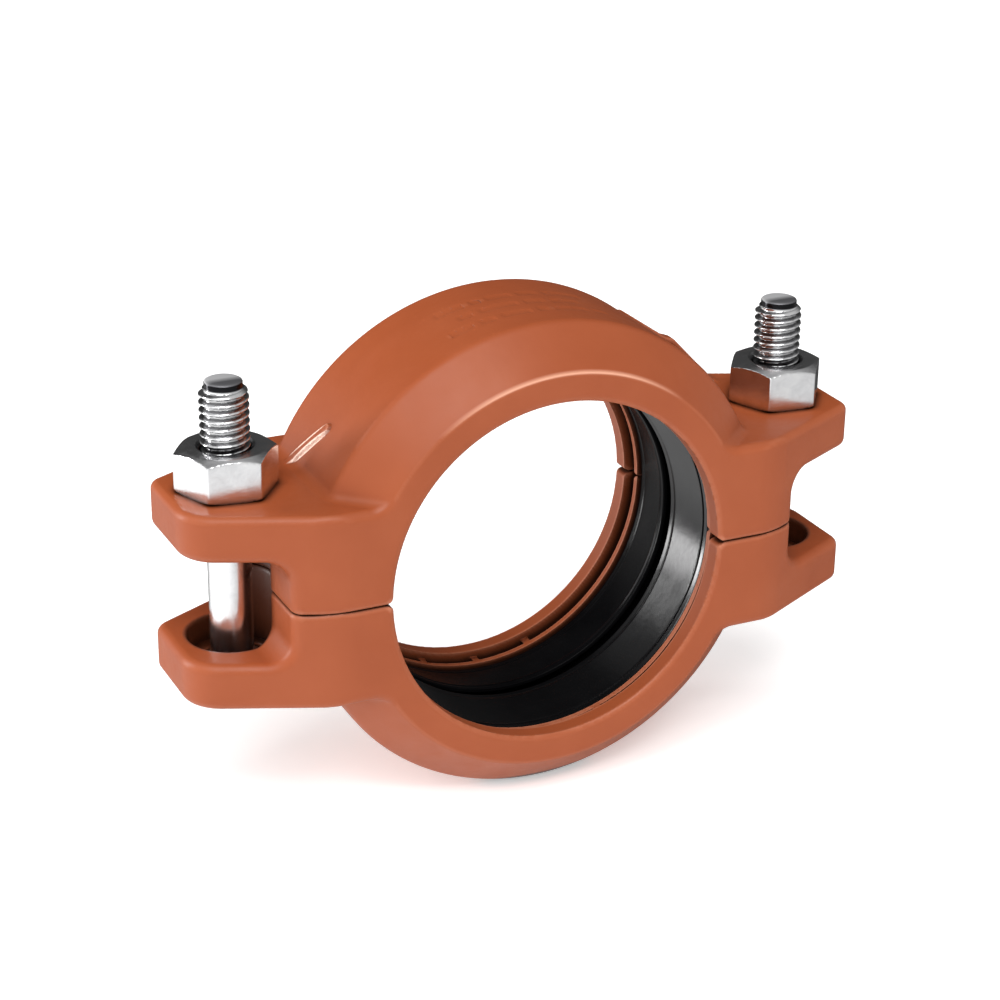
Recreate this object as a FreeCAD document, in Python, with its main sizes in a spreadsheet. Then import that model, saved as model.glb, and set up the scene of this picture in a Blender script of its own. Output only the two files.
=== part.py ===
import FreeCAD, Part
import math
import os
import Sketcher

# Two-bolt grooved pipe coupling for 2 1/2 in pipe, 73.0 mm outside diameter.
# Frame: the pipe axis is Y, X runs from bolt to bolt, +Z points up along the bolts to the nuts.
# The origin is on the pipe axis, midway between the two end faces.

SIZES = [
    # housing ring
    ("key_radius", 35.25, "inner radius of the two keys that sit in the pipe grooves"),
    ("half_width", 22.25, "mid-plane to end face, 44.5 wide overall"),
    ("face_radius", 41.0, "outer radius of the flat end face"),
    ("crown_radius", 48.9, "outer radius of the crown"),
    ("crown_half", 13.85, "half width of the crown"),
    ("crown_round", 2.2, "rounding of the crown's two edges"),
    ("face_round", 1.0, "rounding of the end face's outer edge"),
    ("key_width", 4.0, "axial width of a key"),
    ("key_bevel", 0.5, "bevel on the mouth of the bore"),
    ("slot_radius", 38.4, "bottom radius of the relief slot behind a key"),
    ("slot_width", 2.0, "axial width of the relief slot"),
    ("lip_radius", 36.6, "inner radius of the thin lip beside the gasket"),
    ("channel_radius", 44.0, "bottom radius of the gasket channel"),
    ("channel_half", 15.0, "half width of the gasket channel"),
    ("rib_angle", 2.6, "angle taken by one rib across the relief slots"),
    ("rib_pitch", 19.0, "angle from rib to rib"),
    # bolt lugs
    ("lug_end", 72.5, "pipe axis to the end of a lug"),
    ("full_tip", 11.6, "half width at a lug's end on its full side, before rounding"),
    ("full_taper", 47.3, "where a lug's full side begins to taper"),
    ("full_corner", 8.5, "rounding of the upright corner on a lug's full side"),
    ("lean_tip", 9.6, "half width at a lug's end on its lean side, before rounding"),
    ("lean_taper", 48.0, "where a lug's lean side begins to taper"),
    ("lean_corner", 3.5, "rounding of the upright corner on a lug's lean side"),
    ("lug_top", 19.85, "mid-plane to the seat of nut or head"),
    ("lug_top_round", 1.8, "rounding of the lug's outer rim"),
    ("lug_under", 10.5, "mid-plane to the inner side of a lug"),
    ("block_end", 54.4, "pipe axis to the end wall of the mating block"),
    ("block_corner", 1.8, "rounding of the block's upright corners"),
    ("block_root", 4.5, "fillet between block and lug"),
    ("parting_bevel", 1.0, "notch where the parting face meets the bore"),
    # web behind the crown
    ("web_front", 13.0, "near side of the web"),
    ("web_back", 16.6, "far side of the web"),
    ("web_start_x", 28.3, "start of the web inside the crown, across"),
    ("web_crest_x", 31.8, "upper end of the web's crest, across"),
    ("web_crest_z", 37.8, "upper end of the web's crest, height"),
    ("web_step_x", 43.3, "step in the web's crest, across"),
    ("web_step_z", 30.6, "step in the web's crest, height"),
    ("web_step_length", 2.0, "length of the step, across"),
    ("web_step_rise", 0.7, "rise of the step"),
    # how far one shape runs into the next, or a cutter past the surface it cuts
    ("overlap", 0.5, "small run past a surface"),
    ("reach", 4.0, "long run past a surface"),
    # bolt holes
    ("bolt_offset", 60.0, "pipe axis to a bolt axis"),
    ("hole_half_length", 7.2, "half length of the oval hole, along X"),
    ("hole_radius", 5.3, "radius of the oval hole's round ends"),
    ("recess_radius", 8.8, "radius of the round recess about the bolt"),
    ("recess_top", 15.6, "mid-plane to the bottom of the recess"),
    # gasket
    ("gasket_gap", 0.3, "clearance between gasket and channel"),
    ("gasket_band", 3.5, "thickness of the gasket's outer band"),
    ("gasket_heel", 37.3, "inner radius at the outer end of a lip"),
    ("gasket_mouth", 35.55, "inner radius at the tip of a lip"),
    ("lip_gap", 1.5, "half of the gap between the lips"),
    ("lip_tip", 1.0, "thickness of a lip at its tip"),
    ("chamber_half", 10.8, "half width of the pressure chamber behind the lips"),
    ("lip_root", 38.9, "outer radius of a lip at its root"),
    ("gasket_bevel", 0.8, "bevel of the gasket's outer heels"),
    # track-head bolt, 3/8-16 UNC
    ("bolt_length", 61.4, "under the head to the tip"),
    ("thread_radius", 4.76, "major radius of the thread"),
    ("thread_depth", 0.97, "depth of the thread"),
    ("thread_pitch", 1.5875, "16 threads to the inch"),
    ("thread_length", 29.8, "length of the threaded end"),
    ("shank_radius", 4.25, "rolled-thread shank"),
    ("point_radius", 3.65, "radius of the bolt's point"),
    ("point_length", 1.3, "length of the bolt's point"),
    ("point_dome", 1.0, "width of the bevel round the tip"),
    ("point_rise", 0.4, "height of the bevel round the tip"),
    ("runout", 0.6, "length over which the shank swells to the thread"),
    ("head_radius", 9.3, "radius of the domed head"),
    ("head_rim", 1.2, "height of the head's straight rim"),
    ("head_height", 4.8, "height of the dome"),
    ("neck_length", 3.8, "length of the oval neck"),
    ("neck_half_length", 6.8, "half length of the oval neck"),
    ("neck_radius", 4.95, "radius of the oval neck's round ends"),
    # heavy hex nut
    ("nut_flats", 17.46, "across flats, 11/16 in"),
    ("nut_height", 8.66, "height of the nut"),
    ("nut_bore", 4.9, "radius of the nut's bore, clear of the thread crests"),
    ("nut_face", 7.9, "radius of the nut's flat outer face"),
    ("nut_bevel", 1.15, "drop of the outer bevel at the nut's corners"),
    ("nut_foot", 8.73, "radius of the nut's seating face"),
    ("nut_foot_bevel", 0.5, "rise of the seating bevel at the nut's corners"),
    ("nut_bore_bevel", 0.7, "bevel at both mouths of the nut's bore"),
    ("nut_turn_left", 51.2, "angle of a corner of the left nut"),
    ("nut_turn_right", 53.4, "angle of a corner of the right nut"),
]

doc = FreeCAD.newDocument("grooved_coupling")
sheet = doc.addObject("Spreadsheet::Sheet", "sizes")
for row, (alias, value, meaning) in enumerate(SIZES, start=1):
    sheet.set(f"A{row}", alias)
    sheet.set(f"B{row}", str(value))
    sheet.set(f"C{row}", meaning)
    sheet.setAlias(f"B{row}", alias)
doc.recompute()

SIZE = {alias: value for alias, value, meaning in SIZES}

# The head's domed profile, as shares of its radius and height, and the thread's groove,
# as shares of the pitch: where it starts to be deep, where it stops, where it ends.
DOME = [(0, 1), (0.45, 0.93), (0.8, 0.7)]
GROOVE = [0.375, 0.5, 0.875]
QUARTER_TURN = math.pi / 2


def bind(thing, **expressions):
    """Drive properties of a feature from the sheet."""
    for name, text in expressions.items():
        thing.setExpression(name, text)


def negative(text):
    """The expression for minus a length."""
    return f"-({text})"


def signed(sign, text):
    """The expression for a length on one side or the other."""
    return text if sign > 0 else negative(text)


def mirrored(points):
    """A profile given for its positive side, continued on its negative side."""
    return points + [(negative(across), up) for across, up in reversed(points)]


def new_body(label):
    """An empty body whose label names the sub-part."""
    body = doc.addObject("PartDesign::Body", label)
    body.Label = label
    return body


def new_sketch(body, plane, name):
    """A sketch on one of the body's own origin planes."""
    sketch = body.newObject("Sketcher::SketchObject", f"{body.Name}_{name}_sketch")
    base = next(part for part in body.Origin.OriginFeatures if part.Role == plane)
    sketch.AttachmentSupport = (base, [""])
    sketch.MapMode = "FlatFace"
    return sketch


def pin_point(sketch, geometry, end, across, up):
    """Hold one end of an edge, or a centre, at a place written as expressions."""
    for kind, text in (("DistanceX", across), ("DistanceY", up)):
        value = float(sketch.evalExpression(text))
        index = sketch.addConstraint(Sketcher.Constraint(kind, -1, 1, geometry, end, value))
        sketch.setExpression(f"Constraints[{index}]", text)


def draw_polygon(sketch, points):
    """A closed outline of straight edges through points written as expressions."""
    places = [
        FreeCAD.Vector(float(sketch.evalExpression(x)), float(sketch.evalExpression(y)), 0)
        for x, y in points
    ]
    count = len(points)
    first = sketch.GeometryCount
    for index in range(count):
        sketch.addGeometry(Part.LineSegment(places[index], places[(index + 1) % count]))
    for index in range(count):
        following = first + (index + 1) % count
        sketch.addConstraint(Sketcher.Constraint("Coincident", first + index, 2, following, 1))
    for index, (across, up) in enumerate(points):
        pin_point(sketch, first + index, 1, across, up)


def draw_circle(sketch, across, up, radius):
    """A circle whose centre and radius are expressions."""
    centre = FreeCAD.Vector(
        float(sketch.evalExpression(across)), float(sketch.evalExpression(up)), 0
    )
    start = float(sketch.evalExpression(radius))
    circle = sketch.addGeometry(Part.Circle(centre, FreeCAD.Vector(0, 0, 1), start))
    pin_point(sketch, circle, 3, across, up)
    index = sketch.addConstraint(Sketcher.Constraint("Radius", circle, start))
    sketch.setExpression(f"Constraints[{index}]", radius)


def draw_oval(sketch, across, half_length, radius):
    """An oval along the sketch's first axis: two round ends joined by straight sides."""
    middle = float(sketch.evalExpression(across))
    size = float(sketch.evalExpression(radius))
    reach = float(sketch.evalExpression(half_length)) - size
    up = FreeCAD.Vector(0, size, 0)
    ends = [FreeCAD.Vector(middle - reach, 0, 0), FreeCAD.Vector(middle + reach, 0, 0)]
    axis = FreeCAD.Vector(0, 0, 1)
    left_end = Part.ArcOfCircle(Part.Circle(ends[0], axis, size), QUARTER_TURN, 3 * QUARTER_TURN)
    right_end = Part.ArcOfCircle(Part.Circle(ends[1], axis, size), -QUARTER_TURN, QUARTER_TURN)
    left = sketch.addGeometry(left_end)
    right = sketch.addGeometry(right_end)
    low = sketch.addGeometry(Part.LineSegment(ends[0] - up, ends[1] - up))
    high = sketch.addGeometry(Part.LineSegment(ends[1] + up, ends[0] + up))
    for first, first_end, second, second_end in (
        (left, 2, low, 1),
        (low, 2, right, 1),
        (right, 2, high, 1),
        (high, 2, left, 1),
    ):
        sketch.addConstraint(
            Sketcher.Constraint("Tangent", first, first_end, second, second_end)
        )
    sketch.addConstraint(Sketcher.Constraint("Equal", left, right))
    pin_point(sketch, left, 3, f"{across} - ({half_length} - {radius})", "0")
    pin_point(sketch, right, 3, f"{across} + ({half_length} - {radius})", "0")


def pad(body, sketch, name, height, depth=None):
    """Raise a sketch along its normal, and the other way as well if a depth is given."""
    feature = body.newObject("PartDesign::Pad", f"{body.Name}_{name}")
    feature.Profile = sketch
    bind(feature, Length=height)
    if depth:
        feature.SideType = "Two sides"
        bind(feature, Length2=depth)
    doc.recompute()
    return feature


def volume(body):
    """Volume of what the body holds so far."""
    return 0 if body.Shape.isNull() else body.Shape.Volume


def confirm_cut(feature, before):
    """Stop when a cutting feature has left the solid as it was."""
    if feature.Shape.Volume > before - 1:
        raise RuntimeError(f"{feature.Name} removed nothing")


def turn(body, sketch, name, cuts=False, axis="H_Axis", angle=None):
    """Turn a sketch about one of its own axes: a full turn, or an angle centred on the sketch."""
    before = volume(body)
    kind = "Groove" if cuts else "Revolution"
    feature = body.newObject(f"PartDesign::{kind}", f"{body.Name}_{name}")
    feature.Profile = sketch
    feature.ReferenceAxis = (sketch, [axis])
    if angle:
        feature.Midplane = True
        bind(feature, Angle=angle)
    doc.recompute()
    if cuts:
        confirm_cut(feature, before)
    return feature


def cut_through(body, sketch, name):
    """Cut a sketch right through the body, both ways."""
    before = volume(body)
    feature = body.newObject("PartDesign::Pocket", f"{body.Name}_{name}")
    feature.Profile = sketch
    feature.Type = "ThroughAll"
    feature.SideType = "Symmetric"
    doc.recompute()
    confirm_cut(feature, before)
    return feature


def cut_up(body, sketch, name, height):
    """Cut a sketch from its plane upwards."""
    before = volume(body)
    feature = body.newObject("PartDesign::Pocket", f"{body.Name}_{name}")
    feature.Profile = sketch
    feature.Reversed = True
    bind(feature, Length=height)
    doc.recompute()
    confirm_cut(feature, before)
    return feature


def edges_where(feature, wanted):
    """Names of the feature's edges that pass a test."""
    return [f"Edge{n}" for n, edge in enumerate(feature.Shape.Edges, start=1) if wanted(edge)]


def round_edges(body, feature, name, radius, wanted):
    """Round the edges that pass a test."""
    names = edges_where(feature, wanted)
    fillet = body.newObject("PartDesign::Fillet", f"{body.Name}_{name}")
    fillet.Base = (feature, names)
    bind(fillet, Radius=radius)
    doc.recompute()
    return fillet


def near(value, target):
    """True when two lengths agree."""
    return abs(value - target) < 0.01


def is_upright(edge, distance):
    """A straight edge along Z at a distance from the mid-plane between the bolts."""
    box = edge.BoundBox
    return near(abs(box.XMin), distance) and near(box.XLength, 0) and near(box.YLength, 0)


def is_level(edge, height):
    """An edge that lies in one level plane."""
    box = edge.BoundBox
    return near(box.ZMin, height) and near(box.ZLength, 0)


def lug_bar(label, hand):
    """The bar that carries both lugs, right across the ring, with its own edges rounded.

    Seen from above, each lug has a full side and a lean side. The full side is where X times Y
    has the sign of the hand.
    """
    body = new_body(f"{label}_lugs")
    plan = new_sketch(body, "XY_Plane", "plan")
    outline = []
    for x_sign, y_sign in ((1, 1), (-1, 1), (-1, -1), (1, -1)):
        side = "full" if x_sign * y_sign == hand else "lean"
        tip = (signed(x_sign, "sizes.lug_end"), signed(y_sign, f"sizes.{side}_tip"))
        shoulder = (signed(x_sign, f"sizes.{side}_taper"), signed(y_sign, "sizes.half_width"))
        outline += [tip, shoulder] if x_sign * y_sign > 0 else [shoulder, tip]
    draw_polygon(plan, outline)
    shape = pad(body, plan, "blank", "sizes.lug_top", "sizes.reach")
    for side, sign in (("full", hand), ("lean", -hand)):
        shape = round_edges(
            body,
            shape,
            f"{side}_corners",
            f"sizes.{side}_corner",
            lambda edge: is_upright(edge, SIZE["lug_end"])
            and edge.BoundBox.XMin * edge.BoundBox.YMin * sign > 0,
        )
    shape = round_edges(
        body, shape, "rim", "sizes.lug_top_round", lambda edge: is_level(edge, SIZE["lug_top"])
    )

    gap = new_sketch(body, "XZ_Plane", "gap")
    for sign in ("", "-"):
        low = "-2 * sizes.reach"
        inner = f"{sign}sizes.block_end"
        outer = f"{sign}2 * sizes.lug_end"
        draw_polygon(
            gap,
            [(inner, low), (inner, "sizes.lug_under"), (outer, "sizes.lug_under"), (outer, low)],
        )
    shape = cut_through(body, gap, "gap")
    root = (SIZE["block_end"], SIZE["lug_under"])
    shape = round_edges(
        body,
        shape,
        "roots",
        "sizes.block_root",
        lambda edge: is_level(edge, root[1]) and near(abs(edge.BoundBox.XMin), root[0])
        and near(edge.BoundBox.XLength, 0),
    )
    shape = round_edges(
        body,
        shape,
        "block_corners",
        "sizes.block_corner",
        lambda edge: is_upright(edge, SIZE["block_end"]),
    )
    return body


def housing(label, hand):
    """One half casting: ring, lugs, keys, relief slots, gasket channel, bolt holes, parting face."""
    lugs = lug_bar(label, hand)
    body = new_body(label)
    ring = new_sketch(body, "YZ_Plane", "ring")
    draw_polygon(
        ring,
        mirrored(
            [
                ("sizes.half_width", "sizes.reach - sizes.key_radius"),
                ("sizes.half_width", "-sizes.face_radius"),
                ("sizes.crown_half", "-sizes.crown_radius"),
            ]
        ),
    )
    shape = turn(body, ring, "ring")
    shape = round_edges(
        body,
        shape,
        "crown_edges",
        "sizes.crown_round",
        lambda edge: near(edge.BoundBox.ZMax, SIZE["crown_radius"]) and near(edge.BoundBox.YLength, 0),
    )
    shape = round_edges(
        body,
        shape,
        "face_edges",
        "sizes.face_round",
        lambda edge: near(edge.BoundBox.ZMax, SIZE["face_radius"]) and near(edge.BoundBox.YLength, 0),
    )

    fused = body.newObject("PartDesign::Boolean", f"{label}_fuse")
    fused.setObjects([lugs])
    fused.Type = "Fuse"
    doc.recompute()

    web = new_sketch(body, "XZ_Plane", "web")
    draw_polygon(
        web,
        [
            ("sizes.web_start_x", "sizes.web_crest_z"),
            ("sizes.web_crest_x", "sizes.web_crest_z"),
            ("sizes.web_step_x - sizes.web_step_length", "sizes.web_step_z + sizes.web_step_rise"),
            ("sizes.web_step_x", "sizes.web_step_z"),
            ("sizes.block_end", "sizes.lug_top"),
            ("sizes.full_taper - 2 * sizes.reach", "sizes.lug_top - sizes.reach"),
        ],
    )
    web.AttachmentOffset.Base = FreeCAD.Vector(0, 0, -SIZE["web_back"])
    bind(web, **{".AttachmentOffset.Base.z": "-sizes.web_back"})
    pad(body, web, "web", "sizes.web_back - sizes.web_front")

    bore = new_sketch(body, "YZ_Plane", "bore")
    draw_polygon(
        bore,
        mirrored(
            [
                ("sizes.half_width + sizes.overlap", "0"),
                (
                    "sizes.half_width + sizes.overlap",
                    "-sizes.key_radius - sizes.key_bevel - sizes.overlap",
                ),
                ("sizes.half_width - sizes.key_bevel", "-sizes.key_radius"),
                ("sizes.half_width - sizes.key_width", "-sizes.key_radius"),
                ("sizes.half_width - sizes.key_width", "-sizes.slot_radius"),
                ("sizes.half_width - sizes.key_width - sizes.slot_width", "-sizes.slot_radius"),
                ("sizes.half_width - sizes.key_width - sizes.slot_width", "-sizes.lip_radius"),
                ("sizes.channel_half", "-sizes.lip_radius"),
                ("sizes.channel_half", "-sizes.channel_radius"),
            ]
        ),
    )
    turn(body, bore, "bore", cuts=True)

    slot_start = "sizes.half_width - sizes.key_width"
    for place in (-1, 0, 1):
        ribs = new_sketch(body, "YZ_Plane", f"rib_{place + 2}")
        for side in ("", "-"):
            outer_y = f"{side}({slot_start} + sizes.overlap)"
            inner_y = f"{side}({slot_start} - sizes.slot_width - sizes.overlap)"
            draw_polygon(
                ribs,
                [
                    (inner_y, "sizes.lip_radius"),
                    (inner_y, "sizes.slot_radius + sizes.overlap"),
                    (outer_y, "sizes.slot_radius + sizes.overlap"),
                    (outer_y, "sizes.lip_radius"),
                ],
            )
        ribs.AttachmentOffset = FreeCAD.Placement(
            FreeCAD.Vector(), FreeCAD.Rotation(FreeCAD.Vector(1, 0, 0), place * SIZE["rib_pitch"])
        )
        turn(body, ribs, f"rib_{place + 2}", angle="sizes.rib_angle")

    recess = new_sketch(body, "XY_Plane", "recess")
    holes = new_sketch(body, "XY_Plane", "holes")
    for side in ("", "-"):
        draw_circle(recess, f"{side}sizes.bolt_offset", "0", "sizes.recess_radius")
        draw_oval(holes, f"{side}sizes.bolt_offset", "sizes.hole_half_length", "sizes.hole_radius")
    cut_up(body, recess, "recess", "sizes.recess_top")
    cut_up(body, holes, "holes", "sizes.lug_top + sizes.reach")

    parting = new_sketch(body, "XZ_Plane", "parting")
    notch = "sizes.parting_bevel"
    far = "2 * sizes.lug_end"
    half = [
        (far, negative(far)),
        (far, "0"),
        (f"sizes.key_radius + {notch}", "0"),
        (f"sizes.key_radius - {notch}", f"2 * {notch}"),
    ]
    draw_polygon(parting, mirrored(half))
    cut_through(body, parting, "parting")
    return body


def gasket():
    """The rubber ring: an outer band, two side walls and two lips that lean toward each other."""
    body = new_body("gasket")
    outer = "sizes.channel_radius - sizes.gasket_gap"
    side = "sizes.channel_half - sizes.gasket_gap"
    section = new_sketch(body, "YZ_Plane", "section")
    draw_polygon(
        section,
        mirrored(
            [
                (side, outer),
                (side, "sizes.gasket_heel + sizes.gasket_bevel"),
                (f"{side} - sizes.gasket_bevel", "sizes.gasket_heel"),
                ("sizes.lip_gap", "sizes.gasket_mouth"),
                ("sizes.lip_gap", "sizes.gasket_mouth + sizes.lip_tip"),
                ("sizes.chamber_half", "sizes.lip_root"),
                ("sizes.chamber_half", f"{outer} - sizes.gasket_band"),
            ]
        ),
    )
    turn(body, section, "ring")
    return body


def bolt(label, side):
    """A track-head bolt: domed head, oval neck, rolled shank, threaded end and a narrow point."""
    body = new_body(label)
    thread_start = "sizes.bolt_length - sizes.point_length - sizes.thread_length"
    thread_end = "sizes.bolt_length - sizes.point_length"
    turned = new_sketch(body, "XZ_Plane", "turned")
    draw_polygon(
        turned,
        [(f"{out} * sizes.head_radius", f"-{down} * sizes.head_height") for out, down in DOME]
        + [
            ("sizes.head_radius", "-sizes.head_rim"),
            ("sizes.head_radius", "0"),
            ("sizes.shank_radius", "0"),
            ("sizes.shank_radius", thread_start),
            ("sizes.thread_radius", f"{thread_start} + sizes.runout"),
            ("sizes.thread_radius", f"{thread_end} - sizes.thread_depth"),
            ("sizes.point_radius", thread_end),
            ("sizes.point_radius", "sizes.bolt_length - sizes.point_rise"),
            ("sizes.point_radius - sizes.point_dome", "sizes.bolt_length"),
            ("0", "sizes.bolt_length"),
        ],
    )
    turn(body, turned, "turned", axis="V_Axis")

    oval = new_sketch(body, "XY_Plane", "neck")
    draw_oval(oval, "0", "sizes.neck_half_length", "sizes.neck_radius")
    pad(body, oval, "neck", "sizes.neck_length")

    thread = new_sketch(body, "XZ_Plane", "thread")
    base = f"{thread_end} - sizes.thread_depth"
    rim = "sizes.thread_radius + sizes.overlap / 50"
    root = "sizes.thread_radius - sizes.thread_depth"
    deep, shallow, end = (f"{base} - {share} * sizes.thread_pitch" for share in GROOVE)
    draw_polygon(thread, [(rim, base), (root, deep), (root, shallow), (rim, end)])
    groove = turn(body, thread, "thread", cuts=True, axis="V_Axis")
    rows = body.newObject("PartDesign::LinearPattern", f"{label}_rows")
    rows.Originals = [groove]
    rows.Direction = (thread, ["V_Axis"])
    rows.Reversed = True
    steps = "floor(sizes.thread_length / sizes.thread_pitch - 1)"
    bind(rows, Length=f"{steps} * sizes.thread_pitch", Occurrences=f"{steps} + 1")
    body.Tip = rows
    bind(
        body,
        **{
            ".Placement.Base.x": f"{side} * sizes.bolt_offset",
            ".Placement.Base.z": "-sizes.lug_top",
        },
    )
    doc.recompute()
    return body


def nut(label, side, corner):
    """A heavy hex nut, its corners bevelled on the outer face."""
    body = new_body(label)
    plan = new_sketch(body, "XY_Plane", "plan")
    reach = "sizes.nut_flats / sqrt(3)"
    draw_polygon(
        plan,
        [(f"{reach} * cos({60 * n}deg)", f"{reach} * sin({60 * n}deg)") for n in range(6)],
    )
    pad(body, plan, "blank", "sizes.nut_height")

    for name, face, end, drop in (
        ("bevel", "sizes.nut_face", "sizes.nut_height", "-sizes.nut_bevel"),
        ("foot", "sizes.nut_foot", "0", "sizes.nut_foot_bevel"),
    ):
        bevel = new_sketch(body, "XZ_Plane", name)
        beyond = f"2 * {reach} - {face}"
        draw_polygon(bevel, [(face, end), (beyond, end), (beyond, f"{end} + 2 * {drop}")])
        turn(body, bevel, name, cuts=True, axis="V_Axis")

    bore = new_sketch(body, "XZ_Plane", "bore")
    mouth = "sizes.nut_bore + sizes.nut_bore_bevel"
    draw_polygon(
        bore,
        [
            ("0", "0"),
            (mouth, "0"),
            ("sizes.nut_bore", "sizes.nut_bore_bevel"),
            ("sizes.nut_bore", "sizes.nut_height - sizes.nut_bore_bevel"),
            (mouth, "sizes.nut_height"),
            ("0", "sizes.nut_height"),
        ],
    )
    turn(body, bore, "bore", cuts=True, axis="V_Axis")
    body.Placement.Rotation = FreeCAD.Rotation(FreeCAD.Vector(0, 0, 1), SIZE[corner])
    bind(
        body,
        **{
            ".Placement.Base.x": f"{side} * sizes.bolt_offset",
            ".Placement.Base.z": "sizes.lug_top",
            ".Placement.Rotation.Angle": f"sizes.{corner}",
        },
    )
    doc.recompute()
    return body


upper = housing("upper_housing", 1)
lower = housing("lower_housing", -1)
lower.Placement.Rotation = FreeCAD.Rotation(FreeCAD.Vector(0, 1, 0), 180)
SUB_PARTS = [
    upper,
    lower,
    gasket(),
    bolt("bolt_left", -1),
    bolt("bolt_right", 1),
    nut("nut_left", -1, "nut_turn_left"),
    nut("nut_right", 1, "nut_turn_right"),
]
doc.recompute()

for thing in doc.Objects:
    if "Invalid" in thing.State or "Error" in thing.State:
        raise RuntimeError(f"{thing.Name} failed: {thing.State}")

os.makedirs("parts", exist_ok=True)
for part in SUB_PARTS:
    shape = part.Shape
    if shape.isNull() or not shape.isValid() or len(shape.Solids) != 1:
        raise RuntimeError(f"{part.Label} is not one sound solid")
    shape.exportStep(f"parts/{part.Label}.step")
    print(part.Label, round(shape.Volume, 1), shape.BoundBox)
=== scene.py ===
import math

import bpy
import numpy as np
from mathutils import Matrix, Vector


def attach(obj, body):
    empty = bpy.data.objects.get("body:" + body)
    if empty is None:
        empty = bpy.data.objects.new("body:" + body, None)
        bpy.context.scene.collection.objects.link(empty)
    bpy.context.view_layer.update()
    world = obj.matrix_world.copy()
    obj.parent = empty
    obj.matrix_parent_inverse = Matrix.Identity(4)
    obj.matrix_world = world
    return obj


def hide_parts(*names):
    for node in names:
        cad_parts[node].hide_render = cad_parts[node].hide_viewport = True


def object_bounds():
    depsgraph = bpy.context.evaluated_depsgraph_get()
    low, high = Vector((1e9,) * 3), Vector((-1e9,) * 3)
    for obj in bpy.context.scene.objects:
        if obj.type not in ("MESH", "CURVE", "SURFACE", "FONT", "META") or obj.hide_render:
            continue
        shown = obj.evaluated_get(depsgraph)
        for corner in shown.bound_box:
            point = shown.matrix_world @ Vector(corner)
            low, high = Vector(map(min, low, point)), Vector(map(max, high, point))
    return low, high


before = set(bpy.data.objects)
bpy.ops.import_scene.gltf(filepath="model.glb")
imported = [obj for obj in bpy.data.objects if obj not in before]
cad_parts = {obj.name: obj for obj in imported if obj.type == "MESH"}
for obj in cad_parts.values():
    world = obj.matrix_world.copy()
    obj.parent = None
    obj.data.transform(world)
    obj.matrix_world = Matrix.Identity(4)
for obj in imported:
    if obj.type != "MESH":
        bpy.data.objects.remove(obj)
cad_low, cad_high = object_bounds()

MM = 0.001

# ---------------------------------------------------------------- sizes, in millimetres
# The pipe axis is Y, X runs from bolt to bolt, +Z points from the bolt heads to the nuts.
KEY_RADIUS = 35.25
HALF_WIDTH = 22.25
FACE_RADIUS = 41.0
CROWN_RADIUS = 48.9
CROWN_HALF = 13.85
LUG_END = 72.5
# a lug's two sides: half width at its end, where the taper starts, rounding of the corner
FULL_SIDE = (11.6, 47.3, 8.5)
LEAN_SIDE = (9.6, 48.0, 3.5)
LUG_TOP = 19.85
LUG_UNDER = 10.5
BLOCK_END = 54.4
BOLT_OFFSET = 60.0

# oval bolt hole, and the round recess that faces the parting plane
HOLE_RADIUS = 5.3
HOLE_STRETCH = 1.9
RECESS_RADIUS = 8.8
RECESS_TOP = 15.6

# bore profile of a housing, (radius, distance from the mid-plane)
BORE = [
    (0, 30),
    (36.75, 30),
    (36.75, 23.25),
    (KEY_RADIUS, 21.75),
    (KEY_RADIUS, 18.25),
    (38.4, 18.25),
    (38.4, 16.25),
    (36.6, 16.25),
    (36.6, 15.0),
    (44.0, 15.0),
    (44.0, -1),
    (0, -1),
]

# ribs across the relief slot beside one key
RIB_ANGLES = [71, 90, 109]
RIB_HALF_WIDTH = 37.5 * math.radians(1.3)
RIB_DEPTHS = (36.7, 40)
RIB_SPAN = (15.9, 18.6)

# bevel of the inner rim at the parting plane, (across, height)
NOTCH = [(30, 8), (34.25, 2), (36.25, 0), (36.25, -2), (30, -2)]

# crest of the web behind the crown, (across, height)
WEB = [(28.3, 30), (28.3, 37.8), (31.8, 37.8), (41.3, 31.3), (43.3, 30.6), (54.05, 19.3), (38, 12)]
WEB_SPAN = (13.0, 16.6)

# roundings of the castings
CROWN_EDGE = 0.6
LUG_TOP_EDGE = 1.5
LUG_UNDER_EDGE = 1.8
BLOCK_CORNER = 4.5
RING_TO_LUG = 1.5
RING_FACE_EDGE = 0.32
LUG_FACE_EDGE = 1.8
FACE_EDGE_BLEND = 4
HOLE_EDGE = 0.5
BORE_EDGE = 0.35
WEB_EDGE = 0.5
RIB_EDGE = 0.3
PARTING_EDGE = 0.9

# shallow generic marks along the crown: distance from the mid-plane, lengths of the bars
MARK_ROWS = [(-6.5, (5, 3, 6, 2, 7, 3)), (-1.5, (3, 8, 4, 6)), (3.5, (6, 2, 5, 4, 8))]
MARK_WIDTH = 2.0
MARK_GAP = 1.6
MARK_DEPTH = 0.16

# one raised bar near the left lug: angle in degrees and distance from the mid-plane of its ends
BAR_ENDS = [(155.0, 6.1), (144.2, -0.6)]
BAR_HALF_WIDTH = 1.0
BAR_HEIGHT = 0.6
BAR_EDGE = 0.3
# the painted highlights along the bar's two edges: distance from its middle, reach along, across and
# out
STREAK_OFFSETS = (-0.95, 0.95)
STREAK_REACH = (7.4, 0.62, 2.5)


# ---------------------------------------------------------------- shaping by distance
# A solid is a function that gives the distance to its surface in millimetres, negative inside.
FAR = 9.0


def meet(a, b, r):
    """The solid inside both, its edge rounded."""
    u = np.maximum(r + a, 0)
    v = np.maximum(r + b, 0)
    return np.minimum(-r, np.maximum(a, b)) + np.sqrt(u * u + v * v)


def join(a, b, r):
    """The solid inside either, its inner corner filled to a radius."""
    u = np.maximum(r - a, 0)
    v = np.maximum(r - b, 0)
    return np.maximum(r, np.minimum(a, b)) - np.sqrt(u * u + v * v)


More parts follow.
